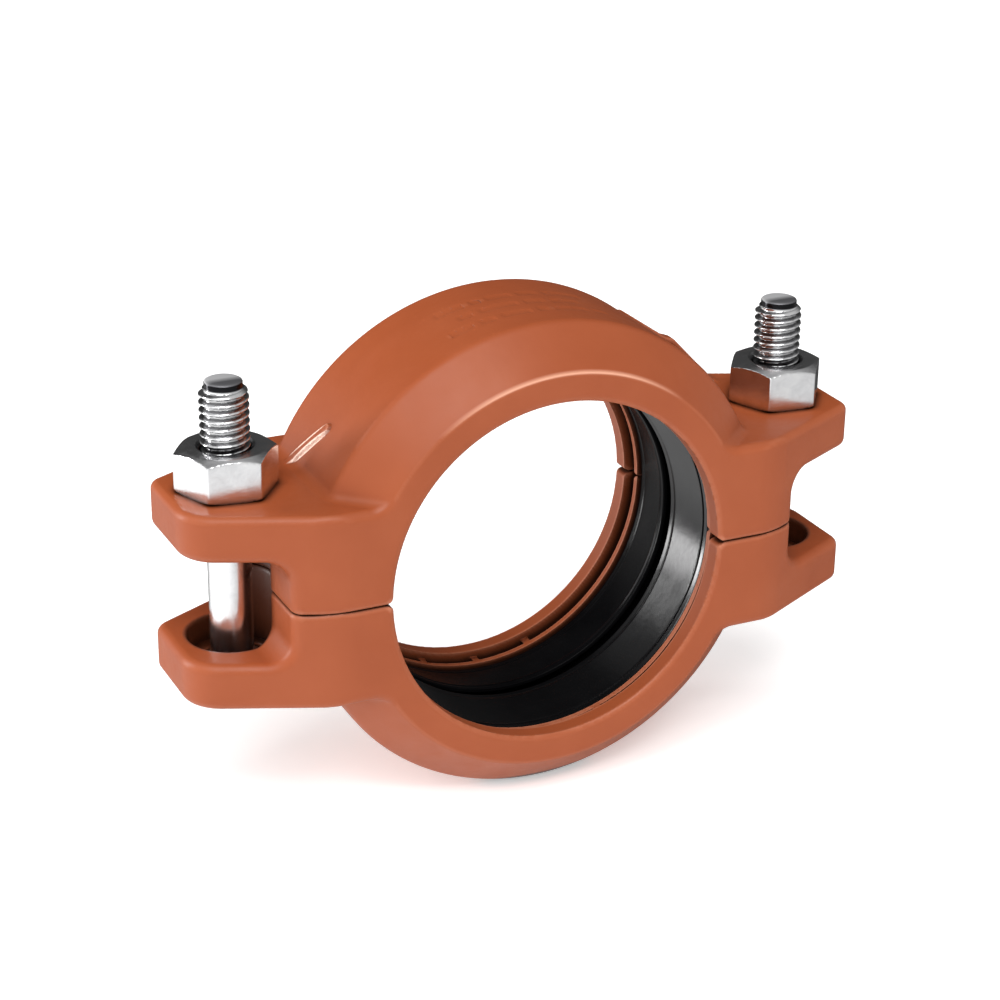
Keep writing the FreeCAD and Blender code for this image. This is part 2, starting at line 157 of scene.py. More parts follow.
def remove(a, b, r):
    """The first solid less the second."""
    return meet(a, -b, r)


def polygon(x, y, corners):
    """Signed distance to a closed outline, negative inside."""
    best = np.full(x.shape, 1e9)
    sign = np.ones(x.shape)
    previous = corners[-1]
    for corner in corners:
        ex, ey = previous[0] - corner[0], previous[1] - corner[1]
        wx, wy = x - corner[0], y - corner[1]
        along = np.clip((wx * ex + wy * ey) / (ex * ex + ey * ey), 0, 1)
        bx, by = wx - ex * along, wy - ey * along
        best = np.minimum(best, bx * bx + by * by)
        above = y >= corner[1]
        below = y < previous[1]
        left = ex * wy > ey * wx
        flip = (above & below & left) | (~above & ~below & ~left)
        sign = np.where(flip, -sign, sign)
        previous = corner
    return sign * np.sqrt(best)


def slab(value, low, high):
    """Distance to the space between two parallel faces."""
    return np.maximum(low - value, value - high)


def cast_marks(x, y, z, r):
    """Distance to the shallow bars sunk in the crown, and to one raised bar near the left lug."""
    around = CROWN_RADIUS * np.arctan2(z, x)
    top = CROWN_RADIUS * math.pi / 2
    sunk = np.full(x.shape, FAR)
    for row, lengths in MARK_ROWS:
        start = -0.5 * (sum(lengths) + MARK_GAP * (len(lengths) - 1))
        for length in lengths:
            middle = top - (start + length / 2)
            bar = np.maximum(
                np.abs(around - middle) - length / 2, np.abs(y - row) - MARK_WIDTH / 2
            )
            sunk = np.minimum(sunk, bar)
            start += length + MARK_GAP
    sunk = np.maximum(sunk, CROWN_RADIUS - MARK_DEPTH - r)

    (a0, y0), (a1, y1) = BAR_ENDS
    s0, s1 = CROWN_RADIUS * math.radians(a0), CROWN_RADIUS * math.radians(a1)
    run, rise = s1 - s0, y1 - y0
    along = np.clip(((around - s0) * run + (y - y0) * rise) / (run**2 + rise**2), 0, 1)
    side = np.hypot(around - s0 - along * run, y - y0 - along * rise)
    raised = meet(side - BAR_HALF_WIDTH, np.abs(r - CROWN_RADIUS) - BAR_HEIGHT, BAR_EDGE)
    return sunk, np.where(z > 0, raised, FAR)


def lug_side(ax, ay, tip, start, corner):
    """Distance to one quarter of the lugs' outline seen from above, its corner a true arc."""
    run, rise = LUG_END - start, HALF_WIDTH - tip
    length = math.hypot(run, rise)
    nx, ny = rise / length, run / length
    cx = LUG_END - corner
    cy = (nx * (LUG_END - cx) + ny * tip - corner) / ny
    taper = nx * (ax - LUG_END) + ny * (ay - tip)
    in_corner = (ay > cy) & (ny * (ax - cx) > nx * (ay - cy))
    arc = np.hypot(ax - cx, ay - cy) - corner
    return np.where(in_corner, arc, np.maximum(taper, ax - LUG_END))


def housing_field(x, y, z, hand=1):
    """Signed distance of a casting with its lugs up; the hand says where their full sides are."""
    ax, ay = np.abs(x), np.abs(y)
    r = np.hypot(x, z)

    # ring without its end faces: the cone from the face to the crown, and the crown
    run, rise = HALF_WIDTH - CROWN_HALF, CROWN_RADIUS - FACE_RADIUS
    length = math.hypot(run, rise)
    cone = (rise * (ay - HALF_WIDTH) + run * (r - FACE_RADIUS)) / length
    ring = meet(cone, r - CROWN_RADIUS, CROWN_EDGE)

    # lugs without their end faces, and the blocks between them
    full, lean = lug_side(ax, ay, *FULL_SIDE), lug_side(ax, ay, *LEAN_SIDE)
    plan = meet(np.where(x * y * hand > 0, full, lean), z - LUG_TOP, LUG_TOP_EDGE)
    under = join(ax - BLOCK_END, LUG_UNDER - z, BLOCK_CORNER)
    lug = meet(plan, under, LUG_UNDER_EDGE)

    sunk, raised = cast_marks(x, y, z, r)
    ring = join(remove(ring, sunk, 0.15), raised, 0.25)
    web = meet(polygon(x, z, WEB), slab(y, *WEB_SPAN), WEB_EDGE)
    ring = join(ring, web, 0.6)

    # the end faces cut both, with a crisp edge on the ring and a round one on the lugs
    solid = join(ring, lug, RING_TO_LUG)
    share = np.clip((ring - lug) / FACE_EDGE_BLEND + 0.5, 0, 1)
    edge = RING_FACE_EDGE + (LUG_FACE_EDGE - RING_FACE_EDGE) * share
    solid = meet(solid, ay - HALF_WIDTH, edge)

    from_bolt = ax - BOLT_OFFSET
    hole = np.hypot(np.maximum(np.abs(from_bolt) - HOLE_STRETCH, 0), y) - HOLE_RADIUS
    recess = np.maximum(np.hypot(from_bolt, y) - RECESS_RADIUS, z - RECESS_TOP)
    solid = remove(solid, recess, HOLE_EDGE)
    solid = remove(solid, hole, HOLE_EDGE)

    solid = remove(solid, polygon(r, ay, BORE), BORE_EDGE)
    for angle in RIB_ANGLES:
        a = math.radians(angle)
        across = np.abs(z * math.cos(a) - x * math.sin(a)) - RIB_HALF_WIDTH
        rib = meet(slab(r, *RIB_DEPTHS), slab(ay, *RIB_SPAN), 0.2)
        rib = meet(rib, across, RIB_EDGE)
        rib = np.maximum(rib, -(x * math.cos(a) + z * math.sin(a)))
        solid = join(solid, rib, RIB_EDGE)

    solid = remove(solid, polygon(ax, z, NOTCH), 0.2)
    return meet(solid, -z, PARTING_EDGE)


# ---------------------------------------------------------------- a surface from a field
# entries of a symmetric matrix, and how strongly a point is held to the middle of its crossings
ENTRIES = ((0, 0), (1, 1), (2, 2), (0, 1), (0, 2), (1, 2))
FIT_PULL = 0.05


def gradient(field, points, reach=0.02):
    """Unit normals of a field at points."""
    normal = np.empty_like(points)
    for axis in range(3):
        shift = np.zeros(3)
        shift[axis] = reach
        normal[:, axis] = field(*(points + shift).T) - field(*(points - shift).T)
    return normal / np.maximum(np.linalg.norm(normal, axis=1, keepdims=True), 1e-12)


def crossings(field, values, low, step, axis):
    """Where the surface cuts the grid's edges along one axis: edge index, point, normal, side."""
    first = [slice(None)] * 3
    second = [slice(None)] * 3
    first[axis], second[axis] = slice(None, -1), slice(1, None)
    a, b = values[tuple(first)], values[tuple(second)]
    index = np.argwhere((a < 0) != (b < 0))
    va, vb = a[tuple(index.T)], b[tuple(index.T)]
    start = low + index * step
    lower, upper = np.zeros(len(index)), np.ones(len(index))
    for _ in range(3):
        share = lower + (upper - lower) * np.clip(va / (va - vb), 0.02, 0.98)
        points = start.astype(float).copy()
        points[:, axis] += share * step
        value = field(*points.T)
        same = (value < 0) == (va < 0)
        lower, va = np.where(same, share, lower), np.where(same, value, va)
        upper, vb = np.where(same, upper, share), np.where(same, vb, value)
    share = lower + (upper - lower) * np.clip(va / (va - vb), 0, 1)
    points = start.astype(float).copy()
    points[:, axis] += share * step
    inside_first = a[tuple(index.T)] < 0
    return index, points, gradient(field, points), inside_first


def surface(field, low, high, step):
    """Points and faces of the field's zero surface, one point in each cell that it crosses."""
    low = np.array(low, float)
    counts = np.ceil((np.array(high) - low) / step).astype(int) + 1
    grid = [low[axis] + step * np.arange(counts[axis]) for axis in range(3)]
    values = np.empty(counts)
    for i, x in enumerate(grid[0]):
        y, z = np.meshgrid(grid[1], grid[2], indexing="ij")
        values[i] = field(np.full(y.shape, x), y, z)

    shape = counts - 1
    cells_total = int(np.prod(shape))
    products = np.zeros((cells_total, 6))
    sides = np.zeros((cells_total, 3))
    sums = np.zeros((cells_total, 3))
    hits = np.zeros(cells_total)
    faces = []
    for axis in range(3):
        index, points, normals, inside_first = crossings(field, values, low, step, axis)
        u, v = (axis + 1) % 3, (axis + 2) % 3
        around = []
        for du, dv in ((0, 0), (-1, 0), (-1, -1), (0, -1)):
            cell = index.copy()
            cell[:, u] += du
            cell[:, v] += dv
            flat = np.ravel_multi_index(cell.T, shape)
            around.append(flat)
            offset = np.einsum("ij,ij->i", normals, points)
            for slot, (p, q) in enumerate(ENTRIES):
                weights = normals[:, p] * normals[:, q]
                products[:, slot] += np.bincount(flat, weights, cells_total)
            for p in range(3):
                sides[:, p] += np.bincount(flat, normals[:, p] * offset, cells_total)
                sums[:, p] += np.bincount(flat, points[:, p], cells_total)
            hits += np.bincount(flat, minlength=cells_total)
        quad = np.stack(around, axis=1)
        quad[~inside_first] = quad[~inside_first][:, ::-1]
        faces.append(quad)

    used = np.flatnonzero(hits)
    middle = sums[used] / hits[used, None]
    p = products[used]
    matrix = np.empty((len(used), 3, 3))
    for slot, (i, j) in enumerate(ENTRIES):
        matrix[:, i, j] = matrix[:, j, i] = p[:, slot]
    right = sides[used] - np.einsum("nij,nj->ni", matrix, middle)
    pull = FIT_PULL * hits[used, None, None] * np.eye(3)
    moved = np.linalg.solve(matrix + pull, right[..., None])[..., 0]
    reach = np.maximum(np.linalg.norm(moved, axis=1), 1e-9)
    moved *= np.minimum(1, 0.6 * step / reach)[:, None]
    points = middle + moved
    for _ in range(2):
        normal = gradient(field, points)
        value = field(*points.T)
        points -= normal * np.clip(value, -0.1, 0.1)[:, None]

    renumber = np.zeros(cells_total, int)
    renumber[used] = np.arange(len(used))
    return points, renumber[np.concatenate(faces)].tolist()


def mesh_object(name, points, faces, smooth_angle=35):
    """A mesh in metres from points in millimetres."""
    mesh = bpy.data.meshes.new(name)
    mesh.from_pydata((points * MM).tolist(), [], faces)
    mesh.validate()
    mesh.update()
    mesh.shade_smooth()
    mesh.set_sharp_from_angle(angle=math.radians(smooth_angle))
    made = bpy.data.objects.new(name, mesh)
    bpy.context.scene.collection.objects.link(made)
    return made


STEP = 0.5
pad = 1.25 * STEP
castings = []
for name, hand in (("upper_casting", 1), ("lower_casting", -1)):
    points, faces = surface(
        lambda x, y, z: housing_field(x, y, z, hand),
        (-LUG_END - pad, -HALF_WIDTH - pad, -pad),
        (LUG_END + pad, HALF_WIDTH + pad, CROWN_RADIUS + pad),
        STEP,
    )
    castings.append(mesh_object(name, points * np.array([hand, 1, hand]), faces))
upper, lower = castings
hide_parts("upper_housing")
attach(upper, "upper_housing")
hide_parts("lower_housing")
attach(lower, "lower_housing")


# ---------------------------------------------------------------- gasket
def rounded(corners, segments=6):
    """A closed outline whose corners, (x, y, radius), are rounded."""
    made = []
    count = len(corners)
    for index, (x, y, radius) in enumerate(corners):
        here = np.array((x, y), float)
        before = np.array(corners[index - 1][:2], float) - here
        after = np.array(corners[(index + 1) % count][:2], float) - here
        before /= np.linalg.norm(before)
        after /= np.linalg.norm(after)
        half = math.acos(np.clip(before @ after, -1, 1)) / 2
        start = here + before * radius / math.tan(half)
        end = here + after * radius / math.tan(half)
        for step in range(segments + 1):
            t = step / segments
            made.append((1 - t) ** 2 * start + 2 * t * (1 - t) * here + t * t * end)
    return made


def lathe_ring(name, outline, count=288):
    """A closed outline of (distance along Y, radius) turned about the pipe axis."""
    outline = np.array(outline)
    angle = np.arange(count) * 2 * math.pi / count
    points = np.stack(
        [
            np.outer(np.cos(angle), outline[:, 1]),
            np.broadcast_to(outline[:, 0], (count, len(outline))),
            np.outer(np.sin(angle), outline[:, 1]),
        ],
        axis=2,
    )
    length = len(outline)
    faces = []
    for i in range(count):
        for j in range(length):
            k, l = (i + 1) % count, (j + 1) % length
            faces.append((i * length + j, i * length + l, k * length + l, k * length + j))
    return mesh_object(name, points.reshape(-1, 3), faces)


# half of the moulding's outline, (distance along Y, radius, rounding)
half_section = [
    (14.7, 43.7, 1.2),
    (14.7, 37.2, 1.0),
    (12.9, 37.15, 0.3),
    (12.5, 36.95, 0.15),
    (12.1, 37.0, 0.15),
    (3.4, 35.75, 0.3),
    (3.0, 35.6, 0.12),
    (2.6, 35.7, 0.12),
    (1.5, 35.55, 0.35),
    (1.5, 36.55, 0.3),
    (10.8, 38.9, 0.8),
    (10.8, 40.2, 0.8),
    (0.7, 40.2, 0.2),
    (0.4, 39.6, 0.15),
]
section = half_section + [(-y, r, radius) for y, r, radius in reversed(half_section)]
gasket = lathe_ring("gasket_ring", rounded(section))
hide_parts("gasket")
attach(gasket, "gasket")


# ---------------------------------------------------------------- bolts
AROUND = 96
PITCH = 1.5875
THREAD_RADIUS = 4.76
THREAD_DEPTH = 0.97
SHANK_RADIUS = 4.25
POINT_RADIUS = 3.65
BOLT_LENGTH = 61.4
THREAD_START = 30.3
THREAD_END = 60.1
THREAD_STEP = 0.11

# heights are from the lug's face: domed head below it, oval neck above it, narrow point at the tip
HEAD_RADIUS = 9.3
DOME_FOOT = -1.2
DOME_HEIGHT = 3.6
NECK = [
    (-0.5, HEAD_RADIUS),
    (-0.15, 9.2),
    (0, 8.95),
    (0, 5.25, 1.85),
    (0.3, 4.97, 1.85),
    (3.5, 4.95, 1.85),
    (3.72, 4.87, 1.8),
    (3.8, 4.7, 1.6),
    (3.8, 4.6, 0),
    (3.95, 4.38),
    (4.3, SHANK_RADIUS),
]
TIP = [
    (THREAD_END, POINT_RADIUS + 0.05),
    (THREAD_END + 0.15, POINT_RADIUS),
    (BOLT_LENGTH - 0.45, POINT_RADIUS),
    (BOLT_LENGTH - 0.25, POINT_RADIUS - 0.12),
    (BOLT_LENGTH - 0.1, POINT_RADIUS - 0.4),
    (BOLT_LENGTH - 0.02, POINT_RADIUS - 1.1),
    (BOLT_LENGTH, 1.2),
]


def thread_radius(z, angle):
    """Radius of the right-hand thread, faded into the shank and cut by the point's cone."""
    turn = z / PITCH - angle / (2 * math.pi)
    depth = np.clip((np.abs(turn - np.floor(turn) - 0.5) * 2 - 0.125) / 0.625, 0, 1)
    depth = depth * depth * (3 - 2 * depth) * 0.35 + depth * 0.65
    full = THREAD_RADIUS - THREAD_DEPTH * depth
    fade = min(max((z - THREAD_START) / (1.2 * PITCH), 0), 1)
    cone = POINT_RADIUS + 1.1 * (THREAD_END - z)
    return np.minimum(SHANK_RADIUS + fade * (full - SHANK_RADIUS), cone)


def bolt_rows():
    """Rings of points from the middle of the head to the tip."""
    angle = np.arange(AROUND) * 2 * math.pi / AROUND
    c, s = np.cos(angle), np.sin(angle)
    side = np.sign(np.round(c, 6))

    def ring(z, radius, stretch=0.0):
        return np.stack([radius * c + stretch * side, radius * s, np.full(AROUND, z)], axis=1)

    dome = [
        (DOME_FOOT - DOME_HEIGHT * math.cos(t), HEAD_RADIUS * math.sin(t))
        for t in np.linspace(0.05, 1.5708, 14)
    ]
    shank = [(z, SHANK_RADIUS) for z in np.linspace(8, THREAD_START, 8)]
    thread = np.arange(THREAD_START + 0.1, THREAD_END, THREAD_STEP)
    rows = [ring(*row) for row in dome + NECK + shank]
    rows += [ring(z, thread_radius(z, angle)) for z in thread]
    rows += [ring(*row) for row in TIP]
    return rows


def bolt(name, node, side):
    """One bolt, riding on its body."""
    rows = bolt_rows()
    points = np.concatenate(rows + [[[0, 0, DOME_FOOT - DOME_HEIGHT], [0, 0, BOLT_LENGTH]]])
    points = points + np.array([side * BOLT_OFFSET, 0, -LUG_TOP])
    faces = []
    last = (len(rows) - 1) * AROUND
    for i in range(0, last, AROUND):
        for j in range(AROUND):
            k = (j + 1) % AROUND
            faces.append((i + j, i + k, i + AROUND + k, i + AROUND + j))
    centre = last + AROUND
    for j in range(AROUND):
        k = (j + 1) % AROUND
        faces.append((k, j, centre))
        faces.append((last + j, last + k, centre + 1))
    made = mesh_object(name, points, faces, 50)
    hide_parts(node)
    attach(made, node)
    return made


bolts = [bolt("track_bolt_left", "bolt_left", -1), bolt("track_bolt_right", "bolt_right", 1)]


# ---------------------------------------------------------------- nuts
NUT_FLATS = 17.46
NUT_HEIGHT = 8.66
NUT_BORE = 4.95
NUT_GROOVE = 0.12
NUT_MOUTH = 5.6
NUT_REACH = 10.6
NUT_STEP = 0.22
# bevels of the top and of the foot: radius where they start, outward and upright parts
TOP_BEVEL = (7.9, 0.4666, 0.8844)
FOOT_BEVEL = (8.73, 0.347, 0.9377)


def nut_field(x, y, z):
    """Signed distance of a heavy hex nut standing on z = 0, a corner on +X."""
    across = np.hypot(x, y)
    hexagon = np.full(x.shape, -1e3)
    for angle in (30, 90, 150):
        a = math.radians(angle)
        hexagon = meet(hexagon, np.abs(x * math.cos(a) + y * math.sin(a)) - NUT_FLATS / 2, 0.12)
    start, out, up = TOP_BEVEL
    top = out * (across - start) + up * (z - NUT_HEIGHT)
    start, out, up = FOOT_BEVEL
    foot = out * (across - start) - up * z
    solid = meet(meet(hexagon, top, 0.1), foot, 0.05)
    solid = meet(meet(solid, z - NUT_HEIGHT, 0.05), -z, 0.05)
    turn = z / PITCH - np.arctan2(y, x) / (2 * math.pi)
    bore = across - NUT_BORE - NUT_GROOVE * np.cos(2 * math.pi * turn)
    mouth = (across - NUT_MOUTH + np.minimum(z, NUT_HEIGHT - z)) * math.sqrt(0.5)
    return remove(remove(solid, bore, 0.05), mouth, 0.05)


nut_points, nut_faces = surface(
    nut_field,
    (-NUT_REACH, -NUT_REACH, -0.6),
    (NUT_REACH, NUT_REACH, NUT_HEIGHT + 0.6),
    NUT_STEP,
)
nuts = []
for name, node, side, corner in (
    ("hex_nut_left", "nut_left", -1, 51.2),
    ("hex_nut_right", "nut_right", 1, 53.4),
):
    a = math.radians(corner)
    turn = np.array([[math.cos(a), -math.sin(a), 0], [math.sin(a), math.cos(a), 0], [0, 0, 1]])
    place = nut_points @ turn.T + np.array([side * BOLT_OFFSET, 0, LUG_TOP])
    made = mesh_object(name, place, nut_faces, 25)
    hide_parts(node)
    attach(made, node)
    nuts.append(made)


# ---------------------------------------------------------------- materials
BLACK = (0, 0, 0)
WHITE = (1, 1, 1)
UPRIGHT = ((1, 0, 0), (0, 1, 0), (0, 0, 1))
ENDLESS = 1000


def grey(level):
    """A neutral colour."""
    return (level, level, level)


class Look:
    """A procedural material built up node by node, in the piece's own coordinates."""

    def __init__(self, name):
        self.material = bpy.data.materials.new(name)
        self.material.use_nodes = True
        self.nodes = self.material.node_tree.nodes
        self.links = self.material.node_tree.links
        self.shader = self.nodes["Principled BSDF"]
        self.place = self.nodes.new("ShaderNodeTexCoord").outputs["Object"]
        # the same coordinates folded onto the quarter where all are positive
        fold = self.nodes.new("ShaderNodeVectorMath")
        fold.operation = "ABSOLUTE"
        self.links.new(self.place, fold.inputs[0])
        self.folded = fold.outputs["Vector"]

    def noise(self, scale, detail=3.0, roughness=0.5, stretch=(1, 1, 1), distortion=0.0):
        """Noise whose scale is in cycles per metre."""
        mapping = self.nodes.new("ShaderNodeMapping")
        mapping.inputs["Scale"].default_value = stretch
        self.links.new(self.place, mapping.inputs["Vector"])
        noise = self.nodes.new("ShaderNodeTexNoise")
        noise.inputs["Scale"].default_value = scale
        noise.inputs["Detail"].default_value = detail
        noise.inputs["Roughness"].default_value = roughness
        noise.inputs["Distortion"].default_value = distortion
        self.links.new(mapping.outputs["Vector"], noise.inputs["Vector"])
        return noise.outputs["Fac"]

    def ramp(self, value, stops):
        """A colour ramp: stops are (position, colour)."""
        ramp = self.nodes.new("ShaderNodeValToRGB")
        elements = ramp.color_ramp.elements
        while len(elements) < len(stops):
            elements.new(0.5)
        for element, (position, colour) in zip(elements, stops):
            element.position = position
            element.color = (*colour, 1)
        self.links.new(value, ramp.inputs["Fac"])
        return ramp.outputs["Color"]

    def spread(self, value, low, high):
        """A value taken to a range."""
        mapped = self.nodes.new("ShaderNodeMapRange")
        mapped.inputs["From Min"].default_value = 0.3
        mapped.inputs["From Max"].default_value = 0.7
        mapped.inputs["To Min"].default_value = low
        mapped.inputs["To Max"].default_value = high
        self.links.new(value, mapped.inputs["Value"])
        return mapped.outputs["Result"]

    def mix(self, share, first, second, mode="MIX"):
        """Two colours mixed by a share, which is a number or an output."""
        mix = self.nodes.new("ShaderNodeMix")
        mix.data_type = "RGBA"
        mix.blend_type = mode
        for value, name in ((share, "Factor"), (first, "A"), (second, "B")):
            kind = "Factor_Float" if name == "Factor" else name + "_Color"
            socket = next(i for i in mix.inputs if i.identifier == kind)
            if isinstance(value, (int, float)):
                socket.default_value = value
            elif isinstance(value, tuple):
                socket.default_value = (*value, 1)
            else:
                self.links.new(value, socket)
        return next(o for o in mix.outputs if o.identifier == "Result_Color")

    def bump(self, height, distance, strength=1.0, below=None):
        """Relief of a height map, on top of another bump."""
        bump = self.nodes.new("ShaderNodeBump")
        bump.inputs["Distance"].default_value = distance
        bump.inputs["Strength"].default_value = strength
        self.links.new(height, bump.inputs["Height"])
        if below:
            self.links.new(below, bump.inputs["Normal"])
        return bump.outputs["Normal"]

    def edges(self):
        """How convex the surface is: above a half on outer edges."""
        return self.nodes.new("ShaderNodeNewGeometry").outputs["Pointiness"]

    def shelter(self, reach, alone=True):
        """How open the surface is: one in the open, less in hollows of the piece or of all; the
        materials paint shade with it.
        """
        openness = self.nodes.new("ShaderNodeAmbientOcclusion")
        openness.samples = 8
        openness.only_local = alone
        openness.inputs["Distance"].default_value = reach
        return openness.outputs["AO"]

    def patch(self, middle, axes, reach, folded=False):
        """A soft ball: one at its middle, zero at its reach along its axes, in millimetres."""
        mapping = self.nodes.new("ShaderNodeMapping")
        mapping.vector_type = "TEXTURE"
        mapping.inputs["Location"].default_value = [value * MM for value in middle]
        mapping.inputs["Rotation"].default_value = Matrix(axes).transposed().to_euler()
        mapping.inputs["Scale"].default_value = [value * MM for value in reach]
        self.links.new(self.folded if folded else self.place, mapping.inputs["Vector"])
        ball = self.nodes.new("ShaderNodeTexGradient")
        ball.gradient_type = "SPHERICAL"
        self.links.new(mapping.outputs["Vector"], ball.inputs["Vector"])
        return ball.outputs["Fac"]

    def height(self, low, high, axis="Z", folded=False):
        """Zero below one place along an axis of the piece, one above another, in metres."""
        split = self.nodes.new("ShaderNodeSeparateXYZ")
        self.links.new(self.folded if folded else self.place, split.inputs["Vector"])
        mapped = self.nodes.new("ShaderNodeMapRange")
        mapped.inputs["From Min"].default_value = low
        mapped.inputs["From Max"].default_value = high
        self.links.new(split.outputs[axis], mapped.inputs["Value"])
        return mapped.outputs["Result"]

    def wire(self, name, value):
        """Feed a shader socket."""
        self.links.new(value, self.shader.inputs[name])

    def set(self, **values):
        """Constant shader values, set on its own sockets."""
        for name, value in values.items():
            self.shader.inputs[name.replace("_", " ")].default_value = value


def bar_highlights():
    """Middles and axes of the two painted highlights, one along each edge of the raised bar."""
    radius = CROWN_RADIUS + BAR_HEIGHT
    ends = [
        Vector((radius * math.cos(math.radians(a)), y, radius * math.sin(math.radians(a))))
        for a, y in BAR_ENDS
    ]
    along = (ends[1] - ends[0]).normalized()
    middle = (ends[0] + ends[1]) / 2
    out = Vector((middle.x, 0, middle.z)).normalized()
    side = out.cross(along).normalized()
    out = along.cross(side)
    return [(middle + side * offset, (along, side, out)) for offset in STREAK_OFFSETS]


# the enamel's colours, dark to light, its painted highlight on edges, its painted shade in hollows
# and in cracks, and its painted highlights on the top rim and the raised bar
ENAMEL = [(0.303, 0.067, 0.021), (0.326, 0.075, 0.025), (0.345, 0.084, 0.030)]
ENAMEL_EDGE_HIGHLIGHT = (0.56, 0.22, 0.13)
ENAMEL_HOLLOW_SHADE = (0.022, 0.006, 0.0025)
ENAMEL_SHADE = (0.030, 0.008, 0.003)
ENAMEL_ARC_HIGHLIGHT = (0.72, 0.36, 0.24)
ENAMEL_STREAK_HIGHLIGHT = (0.93, 0.68, 0.56)


def shade_masks(look):
    """Shares of shade in the cracks between pieces, in the recesses and in the relief slots."""
    crack = look.ramp(look.shelter(0.0022, False), [(0.45, WHITE), (0.92, BLACK)])

    # the recess and the wall behind the bolt lie on one cylinder round the bolt
    well = look.ramp(
        look.patch((BOLT_OFFSET, 0, 0), UPRIGHT, (10.0, 10.0, ENDLESS), True),
        [(0.03, BLACK), (0.10, grey(0.82))],
    )
    well = look.mix(look.height(0.0157, 0.0160, "Z", True), well, BLACK)

    # a relief slot lies between two radii, and ends short of the face
    slot = look.ramp(
        look.patch((0, 0, 0), UPRIGHT, (100, ENDLESS, 100)),
        [(0.6145, BLACK), (0.616, grey(0.8)), (0.626, grey(0.8)), (0.629, BLACK)],
    )
    slot = look.mix(look.height(0.0183, 0.0186, "Y", True), slot, BLACK)
    return crack, well, slot


def rim_highlight(look):
    """Share of the painted highlight along the top of the end face's outer rim."""
    arc = look.ramp(
        look.patch((0, 0, 0), UPRIGHT, (2 * FACE_RADIUS, ENDLESS, 2 * FACE_RADIUS)),
        [(0.4945, BLACK), (0.498, WHITE), (0.5015, WHITE), (0.504, BLACK)],
    )
    return look.mix(look.height(0.032, 0.039), BLACK, arc)


def make_enamel():
    """Satin orange enamel over a slightly uneven iron casting, with painted shade in its hollows and
    cracks and painted highlights on its edges, rim and raised bar.
    """
    look = Look("orange_enamel")
    blotch = look.ramp(look.noise(45, 3, 0.55), list(zip((0.3, 0.55, 0.75), ENAMEL)))
    # painted highlight on the convex edges
    rim = look.ramp(look.edges(), [(0.515, BLACK), (0.57, grey(0.6))])
    # painted shade in the casting's hollows
    hollow_shade = look.ramp(look.shelter(0.011), [(0.30, WHITE), (0.80, BLACK)])
    colour = look.mix(rim, blotch, ENAMEL_EDGE_HIGHLIGHT)
    colour = look.mix(hollow_shade, colour, ENAMEL_HOLLOW_SHADE)
    for mask in shade_masks(look):
        colour = look.mix(mask, colour, ENAMEL_SHADE)
    # painted highlight along the top of the end face's outer rim
    colour = look.mix(rim_highlight(look), colour, ENAMEL_ARC_HIGHLIGHT)
    # painted highlights along the raised bar's two edges
    for middle, axes in bar_highlights():
        ball = look.patch(middle, axes, STREAK_REACH)
        streak = look.ramp(ball, [(0.08, BLACK), (0.32, WHITE)])
        colour = look.mix(streak, colour, ENAMEL_STREAK_HIGHLIGHT)
    look.wire("Base Color", colour)
    look.wire("Roughness", look.spread(look.noise(160, 4, 0.6), 0.36, 0.48))
    cast = look.bump(look.noise(85, 3, 0.5), 0.00035, 0.30)
    peel = look.bump(look.noise(620, 2, 0.4), 0.00006, 0.30, cast)
    look.wire("Normal", peel)
    seat = look.patch((BOLT_OFFSET, 0, LUG_TOP), UPRIGHT, (17, 17, 2), True)
    look.wire("Specular IOR Level", look.ramp(seat, [(0.02, grey(0.25)), (0.3, grey(0.05))]))
    look.set(Coat_Weight=0.03, Coat_Roughness=0.22, Coat_IOR=1.5)
    return look.material


def make_rubber():
    """Black moulded rubber with faint bloom, glossier on its near lip than on its far one."""
    look = Look("black_rubber")
    bloom = look.ramp(
        look.noise(70, 4, 0.6), [(0.35, (0.002, 0.002, 0.0024)), (0.7, (0.0045, 0.0045, 0.005))]
    )
    look.wire("Base Color", bloom)
    look.wire("Roughness", look.spread(look.noise(240, 3, 0.6), 0.17, 0.25))
    look.wire("Normal", look.bump(look.noise(900, 2, 0.5), 0.00003, 0.4))
    far_lip = look.height(-0.004, 0.0, "Y")
    look.wire("Specular IOR Level", look.ramp(far_lip, [(0.0, grey(0.30)), (1.0, grey(0.04))]))
    return look.material


def make_steel(name, stretch, cut_end=None):
    """Bright zinc plate with fine lines and painted shade in its hollows, and a dark band and a
    duller cut end with painted shading if its heights are given.
    """
    look = Look(name)
    tone = look.ramp(
        look.noise(300, 3, 0.6, distortion=0.4),
        [(0.3, (0.78, 0.78, 0.79)), (0.5, (0.86, 0.86, 0.87)), (0.7, (0.92, 0.92, 0.92))],
    )
    # painted shade in the thread roots and where the pieces meet
    hollow_shade = look.ramp(look.shelter(0.003, False), [(0.3, WHITE), (0.85, BLACK)])
    colour = look.mix(hollow_shade, tone, (0.06, 0.06, 0.065))
    rough = look.spread(look.noise(700, 3, 0.6, stretch), 0.14, 0.27)
    if cut_end:
        dark_band, face = (look.height(*heights) for heights in cut_end)
        # painted shading across the cut end: darker at the front, lighter at the back
        face_shading = look.ramp(
            look.height(-0.0014, 0.0006, "Y"), [(0.0, (0.20, 0.20, 0.21)), (1.0, (0.85, 0.85, 0.86))]
        )
        colour = look.mix(dark_band, colour, (0.02, 0.02, 0.022))
        colour = look.mix(face, colour, face_shading)
        rough = look.mix(face, rough, grey(0.62))
    look.wire("Base Color", colour)
    look.wire("Roughness", rough)
    lines = look.bump(look.noise(1500, 2, 0.6, stretch), 0.00002, 0.4)
    look.wire("Normal", look.bump(look.noise(260, 3, 0.5), 0.00004, 0.25, lines))
    look.set(Metallic=1.0)
    return look.material


